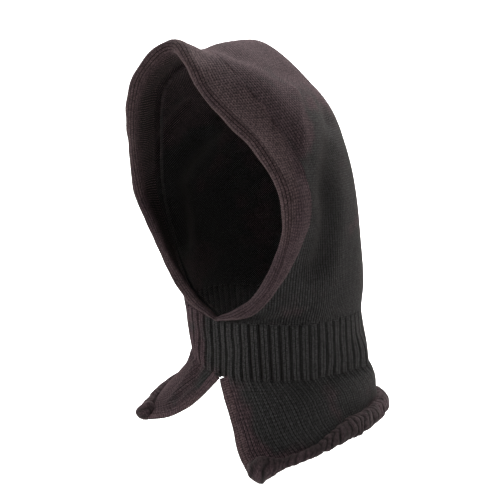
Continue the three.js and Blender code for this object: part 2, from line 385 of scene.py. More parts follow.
def make_piece(name, points, triangles, places, depth, stitch, side, finish):
    """The object: points are in millimetres on the left, and side -1 mirrors them."""
    whole = (
        (triangles[:, 0] != triangles[:, 1])
        & (triangles[:, 1] != triangles[:, 2])
        & (triangles[:, 2] != triangles[:, 0])
    )
    triangles, places = triangles[whole], places[whole]
    used, inverse = np.unique(triangles, return_inverse=True)
    triangles = inverse.reshape(-1, 3)
    points, depth, stitch = points[used] * (side * MM, MM, MM), depth[used], stitch[used]
    if side < 0:
        triangles, places = triangles[:, ::-1], places[:, ::-1]
    mesh = bpy.data.meshes.new(name)
    mesh.vertices.add(len(points))
    mesh.vertices.foreach_set("co", in_a_row(points))
    mesh.loops.add(triangles.size)
    mesh.loops.foreach_set("vertex_index", in_a_row(triangles, np.int32))
    mesh.polygons.add(len(triangles))
    mesh.polygons.foreach_set("loop_start", np.arange(0, triangles.size, 3, dtype=np.int32))
    mesh.polygons.foreach_set("use_smooth", np.ones(len(triangles), bool))
    mesh.update(calc_edges=True)
    mesh.uv_layers.new(name="OFBake")
    mesh.uv_layers["OFBake"].data.foreach_set("uv", in_a_row(places))
    # depth darkens the colour in the gaps between stitches as painted shade; tint carries the
    # brown and the painted shade of the hollow behind the face band
    for key, kind, field, values in (
        ("depth", "FLOAT", "value", depth),
        ("stitch", "FLOAT_VECTOR", "vector", stitch),
        ("tint", "FLOAT", "value", brown_and_shade(points / MM)),
    ):
        mesh.attributes.new(key, kind, "POINT").data.foreach_set(field, in_a_row(values))
    mesh.validate()
    mesh.materials.append(finish)
    return placed(name, mesh)


def counts(wale, course, inner=0.0):
    """The column and row counts that a material reads its pattern from, and 1 for the side
    that faces in."""
    inner = np.asarray(inner, float)
    return np.stack(np.broadcast_arrays(wale, course, inner), -1).reshape(-1, 3)


def knit_piece(name, side, finish, face, back):
    """A piece from its face and back, each (points, numbers, depth, stitch)."""
    size = len(face[0].reshape(-1, 3))
    triangles, places = two_sided(face[1], back[1] + size)
    return make_piece(
        name,
        np.concatenate([face[0].reshape(-1, 3), back[0].reshape(-1, 3)]),
        triangles,
        places,
        np.concatenate([face[2].ravel(), back[2].ravel()]),
        np.concatenate([face[3], back[3]]),
        side,
        finish,
    )


# ---------------------------------------------------------------------------------------
# Materials


def linear(colour):
    """An sRGB hex colour as the linear values that the shader works in."""
    values = [int(colour[k : k + 2], 16) / 255 for k in (1, 3, 5)]
    return [v / 12.92 if v <= 0.04045 else ((v + 0.055) / 1.055) ** 2.4 for v in values] + [1]


def new_node(tree, kind, links=(), **settings):
    """Adds a node. settings are its own settings or, where it has none of that name, the
    values of its inputs, and links are (input, output socket) pairs."""
    node = tree.nodes.new(kind)
    for key, value in settings.items():
        if hasattr(node, key):
            setattr(node, key, value)
        else:
            node.inputs[key.replace("_", " ")].default_value = value
    for key, socket in links:
        tree.links.new(socket, node.inputs[key])
    return node


def blend(tree, factor, low, high):
    """A mix of two colours. Each is a hex colour, or a socket that gives one."""
    mix = new_node(tree, "ShaderNodeMix", [("Factor", factor)], data_type="RGBA")
    for number, colour in ((6, low), (7, high)):
        if isinstance(colour, str):
            mix.inputs[number].default_value = linear(colour)
        else:
            tree.links.new(colour, mix.inputs[number])
    return mix.outputs[2]


def soft_step(tree, value, low, high, least=0.0, most=1.0):
    return new_node(
        tree, "ShaderNodeMapRange", [("Value", value)], interpolation_type="SMOOTHSTEP",
        From_Min=low, From_Max=high, To_Min=least, To_Max=most,
    ).outputs["Result"]


def calculate(tree, operation, *values):
    node = new_node(tree, "ShaderNodeMath", operation=operation)
    for number, value in enumerate(values):
        if isinstance(value, (int, float)):
            node.inputs[number].default_value = value
        else:
            tree.links.new(value, node.inputs[number])
    return node.outputs[0]


def waves(tree, count):
    """A cosine that goes round once for each unit of count."""
    return calculate(tree, "COSINE", calculate(tree, "MULTIPLY", count, 2 * math.pi))


def attribute(tree, name, output="Fac"):
    return new_node(tree, "ShaderNodeAttribute", attribute_name=name).outputs[output]


def noise(tree, place, per_metre, detail, roughness):
    return new_node(
        tree, "ShaderNodeTexNoise", [("Vector", place)], Scale=per_metre, Detail=detail,
        Roughness=roughness,
    ).outputs["Fac"]


def new_finish(name):
    """A material and its nodes."""
    finish = bpy.data.materials.new(name)
    finish.use_nodes = True
    return finish, finish.node_tree


def wool(name, base, second, patches):
    """Woollen yarn, spun from fibres dyed a little differently and knitted: matt and softly
    hairy. Painted shade makes it nearly black in the gaps between its stitches and on its
    purl side. patches is how readily the second colour shows."""
    finish, tree = new_finish(name)
    tree.nodes.clear()
    place = new_node(tree, "ShaderNodeTexCoord").outputs["Object"]
    depth, tint = attribute(tree, "depth"), attribute(tree, "tint")
    stitch = attribute(tree, "stitch", "Vector")
    wale, course, inside = new_node(
        tree, "ShaderNodeSeparateXYZ", [("Vector", stitch)]
    ).outputs
    # Broad patches where the brown fibres show more, about 50 mm apart, and more brown where
    # the tint attribute puts it, which on the upper hood and the back is partly painted light
    broad = noise(tree, place, 19.0, 3.0, 0.6)
    more = calculate(tree, "ADD", broad, calculate(tree, "MULTIPLY", tint, 0.34))
    chosen = soft_step(tree, more, 0.71 - patches * 0.2, 0.9 - patches * 0.2)
    # Heather: flecks about as long as one stitch, 1.8 mm apart
    flecks = noise(tree, place, 560.0, 3.0, 0.7)
    # Painted shade: in the hollow behind the face band the colour is halved
    hollow_shade = soft_step(tree, tint, -1.0, 0.1, 0.5, 1.0)
    light = calculate(tree, "MULTIPLY", soft_step(tree, flecks, 0.3, 0.72, 0.5, 1.85), hollow_shade)
    heather = new_node(
        tree, "ShaderNodeVectorMath", [(0, blend(tree, chosen, base, second)), (1, light)],
        operation="MULTIPLY",
    ).outputs["Vector"]
    # Painted shade: the colour darkens towards GAP_SHADE in the gaps between stitches, where
    # depth is low
    outer = blend(tree, depth, GAP_SHADE, heather)
    # The purl side, inside: painted shade near black, with its bumps painted lighter than the
    # yarn as painted highlights. The bumps of each row lie between those of the rows above
    # and below it
    bumps = calculate(tree, "MULTIPLY", waves(tree, wale), waves(tree, course))
    beads = soft_step(tree, bumps, 0.25, 0.95)
    painted_bead_highlight = new_node(
        tree, "ShaderNodeVectorMath", [(0, heather)], operation="SCALE", Scale=1.2,
    ).outputs["Vector"]
    inner = blend(tree, beads, INNER_SHADE, painted_bead_highlight)
    # Fibres that lie every way in the yarn, about 0.4 mm apart
    hairs = noise(tree, place, 2600.0, 2.0, 0.7)
    beaded = calculate(tree, "MULTIPLY", beads, inside)
    relief = calculate(tree, "ADD", hairs, calculate(tree, "MULTIPLY", beaded, 1.6))
    bump = new_node(
        tree, "ShaderNodeBump", [("Height", relief)], Strength=0.45, Distance=0.0005,
    ).outputs["Normal"]
    shader = new_node(
        tree, "ShaderNodeBsdfPrincipled",
        [("Base Color", blend(tree, inside, outer, inner)), ("Normal", bump)],
        Roughness=0.95, Specular_IOR_Level=0.12, Sheen_Weight=0.1, Sheen_Roughness=0.5,
        Sheen_Tint=linear("#b5a59f"),
    )
    output = new_node(tree, "ShaderNodeOutputMaterial")
    tree.links.new(shader.outputs[0], output.inputs["Surface"])
    return finish


def woven_tape(name):
    """Polyester label tape in plain weave, with the thread of its border turned over."""
    finish, tree = new_finish(name)
    shader = tree.nodes["Principled BSDF"]
    stitch = attribute(tree, "stitch", "Vector")
    warp, weft, _ = new_node(tree, "ShaderNodeSeparateXYZ", [("Vector", stitch)]).outputs
    weave = calculate(tree, "MULTIPLY", waves(tree, warp), waves(tree, weft))
    over = soft_step(tree, weave, -0.6, 0.6)
    bump = new_node(tree, "ShaderNodeBump", [("Height", over)], Strength=0.6,
                    Distance=0.00015)
    tree.links.new(bump.outputs["Normal"], shader.inputs["Normal"])
    # Where a thread dips under its neighbour the tape is painted darker, as painted shade
    tree.links.new(blend(tree, over, "#b9b4aa", "#dedad1"), shader.inputs["Base Color"])
    shader.inputs["Roughness"].default_value = 0.55
    shader.inputs["Sheen Weight"].default_value = 0.15
    return finish


CHARCOAL = "#393939"
BROWN = "#4e3e42"
LIGHT_BROWN = "#564547"
DARK_BROWN = "#3f3436"
SEAM_BLACK = "#232222"
SEAM_BROWN = "#2b2325"
GAP_SHADE = "#0d0c0c"
INNER_SHADE = "#060606"
stocking = wool("wool_stocking_stitch", CHARCOAL, BROWN, 0.75)
ribbing = wool("wool_rib", CHARCOAL, BROWN, 0.55)
bib_wool = wool("wool_bib", CHARCOAL, BROWN, 0.75)
# The turned edges are browner and lighter than the rest: partly the yarn's own colour, partly
# painted light where the folded edges catch the light
turned = wool("wool_turned_edge", BROWN, LIGHT_BROWN, 0.4)
rolled = wool("wool_rolled_hem", DARK_BROWN, BROWN, 0.5)
linking = wool("linking_yarn", SEAM_BLACK, SEAM_BROWN, 0.3)
tape = woven_tape("label_tape")


# ---------------------------------------------------------------------------------------
# How the fabric hangs

# Soft folds. Each runs through its points, is about this wide to each side of them, and
# stands out by this much, or sinks where that is less than nothing.
HOLLOW = ((78, 24, 61), (85, 14, 48), (94, -4, 26), (99, -16, 1), (100, -12, -21),
          (97, -11, -44), (93, -12, -62))
HOOD_FOLDS = (
    (((68, -24, 84), (77, -33, 67), (84, -40, 50), (89, -45, 34), (93, -50, 18)), 7, 2.6),
    (HOLLOW, 15, -7.0),
    (((0, -30, 136), (0, 15, 138), (0, 50, 128)), 34, -1.0),
    (((0, -66, 128), (20, -64, 122), (34, -58, 114)), 15, -3.4),
    (((40, -60, 108), (52, -34, 101), (54, -2, 100), (50, 26, 99)), 12, -1.4),
)
LEFT_BIB_FOLDS = (
    (((0, -48, -128), (0, -48, -157), (0, -48, -190)), 6, -2.4),
    (((74, -33, -187), (80, -35, -205), (88, -37, -222)), 12, 1.3),
    (((93, 12, -186), (97, 16, -205), (103, 22, -224)), 14, -1.3),
    (((92, 72, -170), (95, 76, -186), (99, 80, -200), (103, 82, -214)), 18, 2.6),
    (((90, 70, -166), (93, 76, -178), (95, 80, -188)), 12, 2.0),
)
RIGHT_BIB_FOLDS = (
    (((0, -48, -128), (0, -48, -157), (0, -48, -190)), 6, -2.4),
    (((41, -42, -183), (42, -46, -191), (47, -49, -203), (53, -53, -212), (58, -57, -221),
      (60, -61, -229)), 5, 2.6),
    (((31, -47, -188), (36, -50, -203), (45, -54, -216), (55, -60, -230)), 4, -1.6),
    (((21, -50, -194), (27, -52, -204), (35, -55, -212), (44, -58, -221), (54, -63, -231)),
     4, 1.8),
)


def folded(points, folds):
    """How far the fabric stands out at points because of its folds."""
    result = np.zeros(points.shape[:-1])
    for line, wide, height in folds:
        spots = through(line, np.linspace(0, 1, 50), crossing=False)
        result = result + height * nearness(points, spots, wide)
    return result


FINE = 160  # steps for measuring lengths along a line
AROUND = np.linspace(0, 1, FINE)
BESIDE = 0.45  # the share of the way round at which heights are measured, beside the head
FLUSH = (0.26, 0.46)  # over this share of its way up, the band comes to grow out of the hood


def rows_by_length(surface, spacing):
    """Rises at equal distances up a surface, measured up its side."""
    rise = np.linspace(0, 1, FINE)
    up = lengths(surface(np.full(FINE, BESIDE), rise))
    count = int(round(up[-1] / spacing))
    return np.interp(np.linspace(0, up[-1], count + 1), up, rise)


def hood_stands(points, from_band, rise):
    """How far the hood stands out from its smooth surface: in its folds, and beside the face
    band, which lifts it most over the brow."""
    brow = ease(rise, 0.48, 0.6) * (1 - 0.6 * ease(rise, 0.82, 0.95))
    beside = (1.9 + 3.1 * brow) * bell(from_band, 13 + 20 * brow)
    return (
        folded(points, HOOD_FOLDS) + UNEVEN * wander(points, 60, 11)
        + beside * ease(rise, *FLUSH)
    )


# ---------------------------------------------------------------------------------------
# The rib's columns of stitches, which run on into the hood and the bib

NECK_ALONG = lengths(through(NECK, AROUND))
NECK_LENGTH = NECK_ALONG[-1]
NECK_WALES = int(round(NECK_LENGTH / WALE))
RIB_WALES = RIB_REPEAT * int(round(NECK_LENGTH / RIB_PITCH))


def rib_wave(wale):
    """1 on the two raised columns of the rib, 0 in the two that sink back."""
    return ease(0.5 - np.abs(wale / RIB_REPEAT % 1 - 0.5), 0.1, 0.3)


# The raised columns spread and hide most of the two between them
COLUMN_EDGES = (0, 1, 3, 4)
DRAWN_EDGES = (0, 0.62, 3.38, 4)


def drawn_in(wale):
    """Where a column of the rib lies, in even columns' widths."""
    turn = wale % RIB_REPEAT
    return wale - turn + np.interp(turn, COLUMN_EDGES, DRAWN_EDGES)


def turns_to_rib(turns):
    """The column of the rib at a share of the way round the neck."""
    spread = np.interp(turns, AROUND, NECK_ALONG) / NECK_LENGTH * RIB_WALES
    turn = spread % RIB_REPEAT
    return spread - turn + np.interp(turn, DRAWN_EDGES, COLUMN_EDGES)


def collar(out, around, rise, distance):
    """Near the rib, a surface faces the way the rib does, so that they join flush."""
    near = bell(distance, 9)[..., None]
    side_on = facing(rib_at, around, np.full_like(around, rise))
    return unit(out * (1 - near) + side_on * near)


def layout(surface, rises, wales, total, clear=0.0):
    """Where columns of stitches lie along each row: shares of the way round, and how many
    columns at the start fall within a clear distance of the front."""
    around, rise = np.meshgrid(AROUND, rises)
    along = lengths(surface(around, rise))
    spots = drawn_in(wales)[None] / total * along[:, -1:]
    low = np.maximum((spots < clear).sum(1) - 1, 0)
    spots = np.maximum(spots, clear)
    turns = np.stack([np.interp(s, line, AROUND) for s, line in zip(spots, along)])
    return turns, low


MIDDLE = 0.03  # the halves stop this far from the middle


def finished(points):
    """Keeps a half from crossing the middle."""
    points[..., 0] = np.maximum(points[..., 0], MIDDLE)
    return points


def settled(points, side):
    """The two flaps of the bib don't hang alike: the wearer's left one lies further over the
    slit, and the right one is drawn in below the rib and stands out at its foot."""
    ahead, drop = -points[..., 1], -points[..., 2]
    if side > 0:
        upper = ease(ahead, 32, 62) * ease(drop, 184, 192) * (1 - ease(drop, 200, 214))
        foot = ease(ahead, 32, 62) * ease(drop, 222, 244)
        behind = ease(-ahead, 20, 80) * ease(drop, 196, 212)
        return (
            points + upper[..., None] * (-1.6, 0, 0) + foot[..., None] * (-3.6, -0.6, -0.6)
            + behind[..., None] * (-2.0, 0, -2.4)
        )
    near_slit = ease(ahead, 32, 62) * ease(drop, 189, 208)
    drawn = ease(drop, 180, 196) * (1 - ease(drop, 208, 230)) * ease(-ahead, -48, -20)
    flared = ease(drop, 220, 240) * ease(ahead, 0, 40)
    return (
        points + near_slit[..., None] * (-1.6, 0, 3.0) + drawn[..., None] * (-9.0, 0, 0)
        + flared[..., None] * (3.5, -2.0, 0)
    )


# ---------------------------------------------------------------------------------------
# The hood

WIDEST = 0.4  # the rise where the face opening is widest


def hood_layout(rises, per_wale):
    """Where the columns of stitches lie. In the lower part the ones next to the face end under
    the band, and over the crown the ones at the back end in the centre seam."""
    around, rise = np.meshgrid(AROUND, rises)
    along = lengths(hood_at(around, rise))
    held = along[:, -1] / (along[0, -1] / NECK_WALES)
    first = np.where(rises <= WIDEST, NECK_WALES - held, 0)
    first = np.maximum(np.maximum.accumulate(first), 0)
    last = np.minimum(np.minimum.accumulate(np.where(rises > WIDEST, first + held, NECK_WALES)),
                      NECK_WALES)
    wales = np.arange(NECK_WALES * per_wale + 1) / per_wale
    share = (wales[None] - first[:, None]) / (last - first)[:, None]
    spots = np.clip(share, 0, 1)
    turns = np.stack([
        np.interp(row * line[-1], line, AROUND) for row, line in zip(spots, along)
    ])
    low, high = row_ends(share < 0, share > 1)
    return np.broadcast_to(wales, share.shape), turns, low, high, spots * along[:, -1:]


def hood_layer(per_wale, per_course, inner):
    rises = rows_by_length(hood_at, COURSE / per_course)
    wales, turns, low, high, from_band = hood_layout(rises, per_wale)
    courses = np.broadcast_to((np.arange(len(rises)) / per_course)[:, None], wales.shape)
    level = np.broadcast_to(rises[:, None], wales.shape)
    rise = level
    if not inner:
        spacing = np.gradient(rises)[:, None] * per_course
        between = (level > rises[1]) & (level < rises[-2])
        rise = np.clip(level + LEAN * zigzag(wales) * spacing * between, 0, 1)
    smooth = hood_at(turns, rise)
    distance = level * HOOD_HEIGHT
    out = collar(facing(hood_at, turns, rise), turns, 0.999, distance)
    # Behind the crown the top line and the back line meet, and the fabric faces up and back
    near = nearness(smooth, hood_at(np.ones(1), np.ones(1)), 14)[..., None]
    out = unit(out * (1 - near) + unit(np.array([0.1, 0.8, 0.6])) * near)
    height = hood_stands(smooth, from_band, level) * ease(distance, 0, 12)
    ribbed = RIB_RISE * (rib_wave(turns_to_rib(turns)) - RIB_MEAN) * np.exp(-distance / 3)
    height = height + ribbed
    relief = plain(wales, courses)
    points = smooth + out * (height + (-FABRIC if inner else YARN_RELIEF * relief))[..., None]
    points[0, :, 2] -= TUCK
    return finished(points), numbered(wales.shape, low, high), in_the_gaps(relief), counts(
        wales, courses, inner
    )


# ---------------------------------------------------------------------------------------
# The neck rib and the bib


def rib_columns(surface, rises, per_wale, per_course, clear=0.0):
    """The rib's columns on a surface below the hood. For each corner of the mesh: its shares
    of the way round and up, whether it lies between the first and last rows, its column and
    row, and its number."""
    wales = np.arange(RIB_WALES * per_wale + 1) / per_wale
    turns, low = layout(surface, rises, wales, RIB_WALES, clear)
    high = np.full(len(rises), turns.shape[1] - 1)
    level = np.broadcast_to(rises[:, None], turns.shape)
    between = (level > rises[0]) & (level < rises[-1])
    courses = (np.arange(len(rises)) / per_course)[:, None]
    return (turns, level, between, np.broadcast_to(wales, turns.shape),
            np.broadcast_to(courses, turns.shape), numbered(turns.shape, low, high))


def rib_layer(per_wale, per_course, inner, folds):
    count = int(round(RIB_HEIGHT / COURSE)) * per_course
    turns, level, between, wales, courses, numbers = rib_columns(
        rib_at, np.linspace(0, 1, count + 1), per_wale, per_course
    )
    shift = 0 if inner else RIB_LEAN * zigzag(wales) * COURSE / RIB_HEIGHT * between
    smooth = rib_at(turns, np.clip(level + shift, 0, 1))
    out = facing(rib_at, turns, level)
    raised = rib_wave(wales)
    relief = plain(wales, courses)
    height = RIB_RISE * (raised - RIB_MEAN) + 0.5 * wander(smooth, 26, 41) * raised * between
    hang = folded(smooth, folds) + UNEVEN * wander(smooth, 50, 21)
    height = height + hang * ease(1 - level, 0, 0.5)
    height = height + (-FABRIC if inner else RIB_RELIEF * relief * (0.3 + 0.7 * raised))
    points = smooth + out * height[..., None]
    # The colour darkens in the gaps between stitches and most in the sunk columns of the rib,
    # as painted shade
    depth = (relief * 0.9 + 0.4) * (0.2 + 0.8 * raised)
    return finished(points), numbers, depth, counts(wales, courses, inner)


def bib_layer(per_wale, per_course, inner, folds, side):
    drop = lengths(bib_at(np.full(FINE, BESIDE), np.linspace(BIB_FOOT, 1, FINE)))[-1]
    count = int(round(drop / COURSE)) * per_course
    turns, level, between, wales, courses, numbers = rib_columns(
        bib_at, np.linspace(BIB_FOOT, 1, count + 1), per_wale, per_course, SLIT_CLEAR
    )
    shift = 0 if inner else LEAN * zigzag(wales) * (1 - BIB_FOOT) * per_course / count * between
    smooth = bib_at(turns, np.clip(level + shift, 0, 1))
    distance = (1 - level) * BIB_DROP
    out = collar(facing(bib_at, turns, level), turns, 0.001, distance)
    relief = plain(wales, courses)
    height = RIB_RISE * (rib_wave(wales) - RIB_MEAN) * bell(distance, 8)
    height = height + folded(smooth, folds) + UNEVEN * wander(smooth, 50, 21)
    height = height + (-FABRIC if inner else YARN_RELIEF * relief)
    points = smooth + out * height[..., None]
    points[-1, :, 2] += TUCK
    return settled(finished(points), side), numbers, in_the_gaps(relief), counts(
        wales, courses, inner
    )


# ---------------------------------------------------------------------------------------
# The face band

AT_SEAM = 0.01  # columns nearer than this to the band's seam end in it


def band_section(share):
    """The outline of the folded band across its width at shares of the way up the face: from
    the seam, over its face to the fold, and back inside it to the seam."""
    edge = through(EDGE, share)
    # At the chin the two halves of the band meet in a small notch
    notch = CHIN_NOTCH * bell(edge[:, 0], 8) * (share < 0.5)
    edge = edge - (0, 0, 1) * notch[:, None]
    seam = hood_at(np.zeros_like(share), share)
    leave = unit(seam - hood_at(np.full_like(share, 0.03), share))
    width = np.linalg.norm(edge - seam, axis=-1)
    ahead = unit(through(EDGE, share + 0.004) - through(EDGE, share - 0.004))
    half = np.minimum(BAND_HALF, 0.38 * width) * (
        0.42 + 0.3 * ease(share, 0, 0.045) + 0.28 * ease(share, 0.03, 0.14)
    )
    steps = np.linspace(0, 1, 40)
    fold = edge - unit(edge - seam) * half[:, None]
    knee = seam + leave * (0.45 * width)[:, None]
    tucked = seam - leave * TUCK
    flat = (
        (1 - steps)[None, :, None] ** 2 * tucked[:, None]
        + 2 * (steps * (1 - steps))[None, :, None] * knee[:, None]
        + steps[None, :, None] ** 2 * fold[:, None]
    )
    across = unit(np.gradient(flat, axis=1))
    out = unit(np.cross(ahead[:, None], across))
    sign = np.sign(((flat - (0, 10, 20)) * out).sum(-1).mean(1))[:, None, None]
    out = out * sign
    # Low down the band stands up beside the hood; over the brow it grows out of it.
    flush = ease(share, *FLUSH)[:, None]
    start = hood_stands(seam, 0 * share, share)[:, None] * flush - TUCK * (1 - flush)
    low = np.sqrt(1 - (1 - np.minimum(steps[None] / 0.4, 1)) ** 2)
    swell = low * (1 - flush) + ease(steps[None], 0, 0.62) * flush
    # Where the opening is widest it is pulled flatter
    pulled = 1 - 0.32 * (ease(share, 0.18, 0.36) * (1 - ease(share, 0.46, 0.6)))[:, None]
    bulge = swell * (pulled + (1 - pulled) * steps[None] ** 2)
    rise = start * (1 - swell) + half[:, None] * bulge
    outside = flat + out * rise[..., None]
    thick = np.minimum(FABRIC + TUCK, half)[:, None]
    lining = thick + (half[:, None] - thick) * ease(steps[None], 0.1, 0.6)
    inner = (flat - out * lining[..., None])[:, ::-1]
    turn = np.linspace(0, math.pi, 24)[1:-1]
    tip, away, normal = flat[:, -1], across[:, -1], out[:, -1]
    bend = (
        tip[:, None]
        + half[:, None, None] * np.cos(turn)[None, :, None] * normal[:, None]
        + half[:, None, None] * np.sin(turn)[None, :, None] * away[:, None]
    )
    return np.concatenate([outside, bend, inner], 1), len(steps) + len(turn) // 2


def make_band(name):
    """The folded band as one closed ring of knitting, with its columns along the face."""
    upward = np.linspace(0, 1, 400)
    around = lengths(through(EDGE, upward))
    count = int(round(around[-1] / COURSE)) * 2
    share = np.interp(np.linspace(0, around[-1], count + 1), around, upward)
    outline, tip = band_section(share)
    along = lengths(outline)
    fold = along[:, tip]
    most = np.maximum(fold.max(), (along[:, -1] - fold).max())
    reach = math.ceil(most / WALE * 4)
    wales = np.arange(-reach, reach + 1) / 4
    spot = np.clip(fold[:, None] + wales[None] * WALE, 0, along[:, -1:])
    points = np.stack([at_lengths(*row) for row in zip(outline, along, spot)])
    ahead = unit(np.gradient(points, axis=0))
    out = unit(np.cross(ahead, unit(np.gradient(points, axis=1))))
    flip = np.sign((out * (points - points.mean(1, keepdims=True))).sum(-1).mean())
    out = out * flip
    courses = np.broadcast_to((np.arange(len(points)) / 2)[:, None], points.shape[:2])
    wales = np.broadcast_to(wales, points.shape[:2])
    first, last = spot <= AT_SEAM, spot >= along[:, -1:] - AT_SEAM
    between = ~(first | last)
    relief = plain(wales, courses)
    lean = LEAN * COURSE * zigzag(wales) * between
    lean[0] = lean[-1] = 0
    lumps = 0.35 * wander(points, 24, 51)
    points = points + out * ((YARN_RELIEF * relief + lumps) * between)[..., None]
    points = points + ahead * lean[..., None]
    points[0, :, 0] = points[-1, :, 0] = 0
    low, high = row_ends(first, last)

    def round_face(half):
        """The left half, then the right half without the rows that they share."""
        return np.concatenate([half, half[-2:0:-1]])

    right = points[-2:0:-1] * (-1, 1, 1)
    everything = np.concatenate([points, right])
    numbers = numbered(everything.shape[:2], round_face(low), round_face(high))
    numbers = np.concatenate([numbers, numbers[:1]])
    numbers = np.concatenate([numbers, numbers[:, :1]], 1)
    triangles, places = grid(numbers, (0.01, 0.01, 0.99, 0.99))
    order = -1 if flip < 0 else 1
    # Its colour darkens in the gaps between stitches, and past the fold its inside fades into
    # the purl side's painted shade and painted highlights
    return make_piece(
        name, everything.reshape(-1, 3), triangles[:, ::order], places[:, ::order],
        round_face(relief).ravel() * 0.8 + 0.36,
        counts(round_face(wales), round_face(courses), ease(round_face(wales), 1.5, 6.5)), 1,
        turned,
    )


# ---------------------------------------------------------------------------------------
# Rolls and cords


def tube(name, side, finish, sections, depth, stitch, closed=False):
    """A closed surface round sections, an array of rings of points from end to end."""
    rows, columns = sections.shape[:2]
    numbers = np.arange(rows * columns).reshape(rows, columns)
    numbers = np.concatenate([numbers, numbers[:, :1]], 1)
    if closed:
        numbers = np.concatenate([numbers, numbers[:1]], 0)
    triangles, places = grid(numbers, (0.01, 0.08, 0.99, 0.99))
    points, depth = sections.reshape(-1, 3), depth.ravel()
    if not closed:
        for row, order in ((0, 1), (-1, -1)):
            centre = len(points)
            points = np.concatenate([points, [points[numbers[row]].mean(0)]])
            depth, stitch = np.append(depth, 0.5), np.concatenate([stitch, stitch[:1]])
            rim = numbers[row][::order]
            caps = np.stack([rim[1:], rim[:-1], np.full(columns, centre)], 1)
            turn = np.linspace(0, 2 * math.pi, columns + 1)
            # In the UV map each end is a small disc below the side
            ring = np.stack([np.cos(turn), np.sin(turn)], -1) * 0.03
            middle = np.array([0.04 if row == 0 else 0.14, 0.04])
            flat = np.stack([ring[1:] + middle, ring[:-1] + middle,
                             np.broadcast_to(middle, (columns, 2))], 1)
            triangles = np.concatenate([triangles, caps])
            places = np.concatenate([places, flat])
    return make_piece(name, points, triangles, places, depth, stitch, side, finish)


def frame_along(path, out):
    """The directions along a path, out from the fabric, and across both."""
    ahead = unit(np.gradient(path, axis=0))
    up = unit(out - (out * ahead).sum(-1, keepdims=True) * ahead)
    return ahead, up, np.cross(ahead, up)


def round_path(path, out, sides):
    """Angles round a path, and the ring of directions that they point in."""
    _, up, across = frame_along(path, out)
    angle = np.arange(sides) / sides * 2 * math.pi
    ring = up[:, None] * np.cos(angle)[None, :, None]
    return angle[None], ring + across[:, None] * np.sin(angle)[None, :, None]


def make_hem(side, name):
    """The bib's lower edge, rolled up outwards: a soft roll with ridges across it, which is
    thin where the front is stretched and crumples into a knob at the slit."""
    count = 760
    turn = np.linspace(0, 1, count)
    along = lengths(bib_at(turn, np.zeros(count)))
    turn = np.interp(np.linspace(0, along[-1], count), along, turn)
    rim = bib_at(turn, np.zeros(count))
    above = bib_at(turn, np.full(count, 0.15))
    out = facing(bib_at, turn, np.full(count, 0.02))
    along = lengths(rim)
    swollen = ease(along, 62, 112) if side > 0 else 0.6 * ease(along, 120, 190)
    corner = bell(along - 8, 14) * (1 if side > 0 else 0.6)
    laid = HEM_RADIUS + 3.8 * swollen + 2.4 * corner
    radius = laid + 4.4 * corner
    path = rim + unit(above - rim) * laid[:, None] + out * (laid - FABRIC)[:, None] * 0.9
    end = bell(along, 14)[:, None]
    path = path + end * 1.4 * unit(rim[:1] - rim[40:41])
    angle, ring = round_path(path, out, 44)
    phase = along / RIDGE_PITCH + 0.55 * wander(path, 34, 5)
    slanted = phase[:, None] + 0.5 * np.sin(angle) + 0.16 * wander(
        path[:, None] + ring * 8, 9, 71
    )
    ridge = np.abs(np.sin(math.pi * slanted)) ** 0.7 - 0.6
    strong = 0.45 + 1.0 * swollen + 0.5 * corner
    strong = (strong * (1 + 0.5 * wander(path, 17, 61)))[:, None]
    spots = path[:, None] + ring * radius[:, None, None]
    lumps = wander(spots, 13, 31) * (0.3 + 0.5 * swollen + 0.8 * corner)[:, None]
    fine = 0.22 * np.cos(2 * math.pi * along / (WALE / 2))[:, None] * np.cos(5 * angle)
    cap = np.sqrt(1 - (1 - np.clip(along / radius, 0.01, 1)) ** 2)[:, None]
    size = cap * (radius[:, None] + strong * ridge + lumps + fine)
    sections = settled(finished(path[:, None] + ring * size[..., None]), side)
    # The colour darkens in the grooves between the ridges and stitches, as painted shade
    depth = 0.26 + 0.6 * ridge * np.minimum(strong, 1) + 0.9 * fine
    stitch = counts((along / WALE)[:, None], angle * 3)
    return tube(name, side, rolled, sections, np.clip(depth, 0, 1), stitch)


def make_slit_edge(side, name):
    """A flat turned edge down the side of the slit, with its columns along it."""
    half_wide, half_thick = SLIT_EDGE_HALF
    count = 150
    rise = np.linspace(0.1, 1, count)
    line = bib_at(np.zeros(count), rise)
    inward = unit(bib_at(np.full(count, 0.03), rise) - line)
    out = facing(bib_at, np.full(count, 0.01), rise)
    path = line + inward * half_wide - out * 1.2
    along = lengths(path)
    angle, _ = round_path(path, out, 60)
    _, up, across = frame_along(path, out)
    wide = np.sign(np.sin(angle)) * np.abs(np.sin(angle)) ** 0.75
    thick = np.sign(np.cos(angle)) * np.abs(np.cos(angle)) ** 0.6
    columns = np.abs(np.sin(wide * half_wide / WALE * 2 * math.pi))
    rows = np.cos(2 * math.pi * along / COURSE)[:, None]
    fine = 0.5 * (columns - 0.5) + 0.25 * rows
    sections = (
        path[:, None]
        + up[:, None] * (half_thick * thick + fine * thick)[..., None]
        + across[:, None] * (np.ones((count, 1)) * half_wide * wide)[..., None]
    )
    stitch = counts(wide * half_wide / WALE, (along / COURSE)[:, None])
    # Its colour darkens in the grooves between stitches, as painted shade
    return tube(name, side, turned, settled(sections, side), np.clip(0.5 + fine, 0, 1), stitch)


def make_cord(name, path, out, radius, closed=False):
    """A linked seam: two yarns twisted round each other and whipped to the knitting."""
    angle, ring = round_path(path, out, 16)
    along = lengths(path)[:, None]
    twist = angle - 2 * math.pi * along / TWIST_PITCH
    size = radius * (0.74 + 0.26 * np.abs(np.cos(twist)) + 0.07 * np.cos(7 * twist))
    # The colour darkens where the two yarns twist in between each other, as painted shade
    depth = np.abs(np.cos(twist)) * 0.8 + 0.1
    return tube(name, 1, linking, path[:, None] + ring * size[..., None], depth,
                counts(angle, along / COURSE), closed)


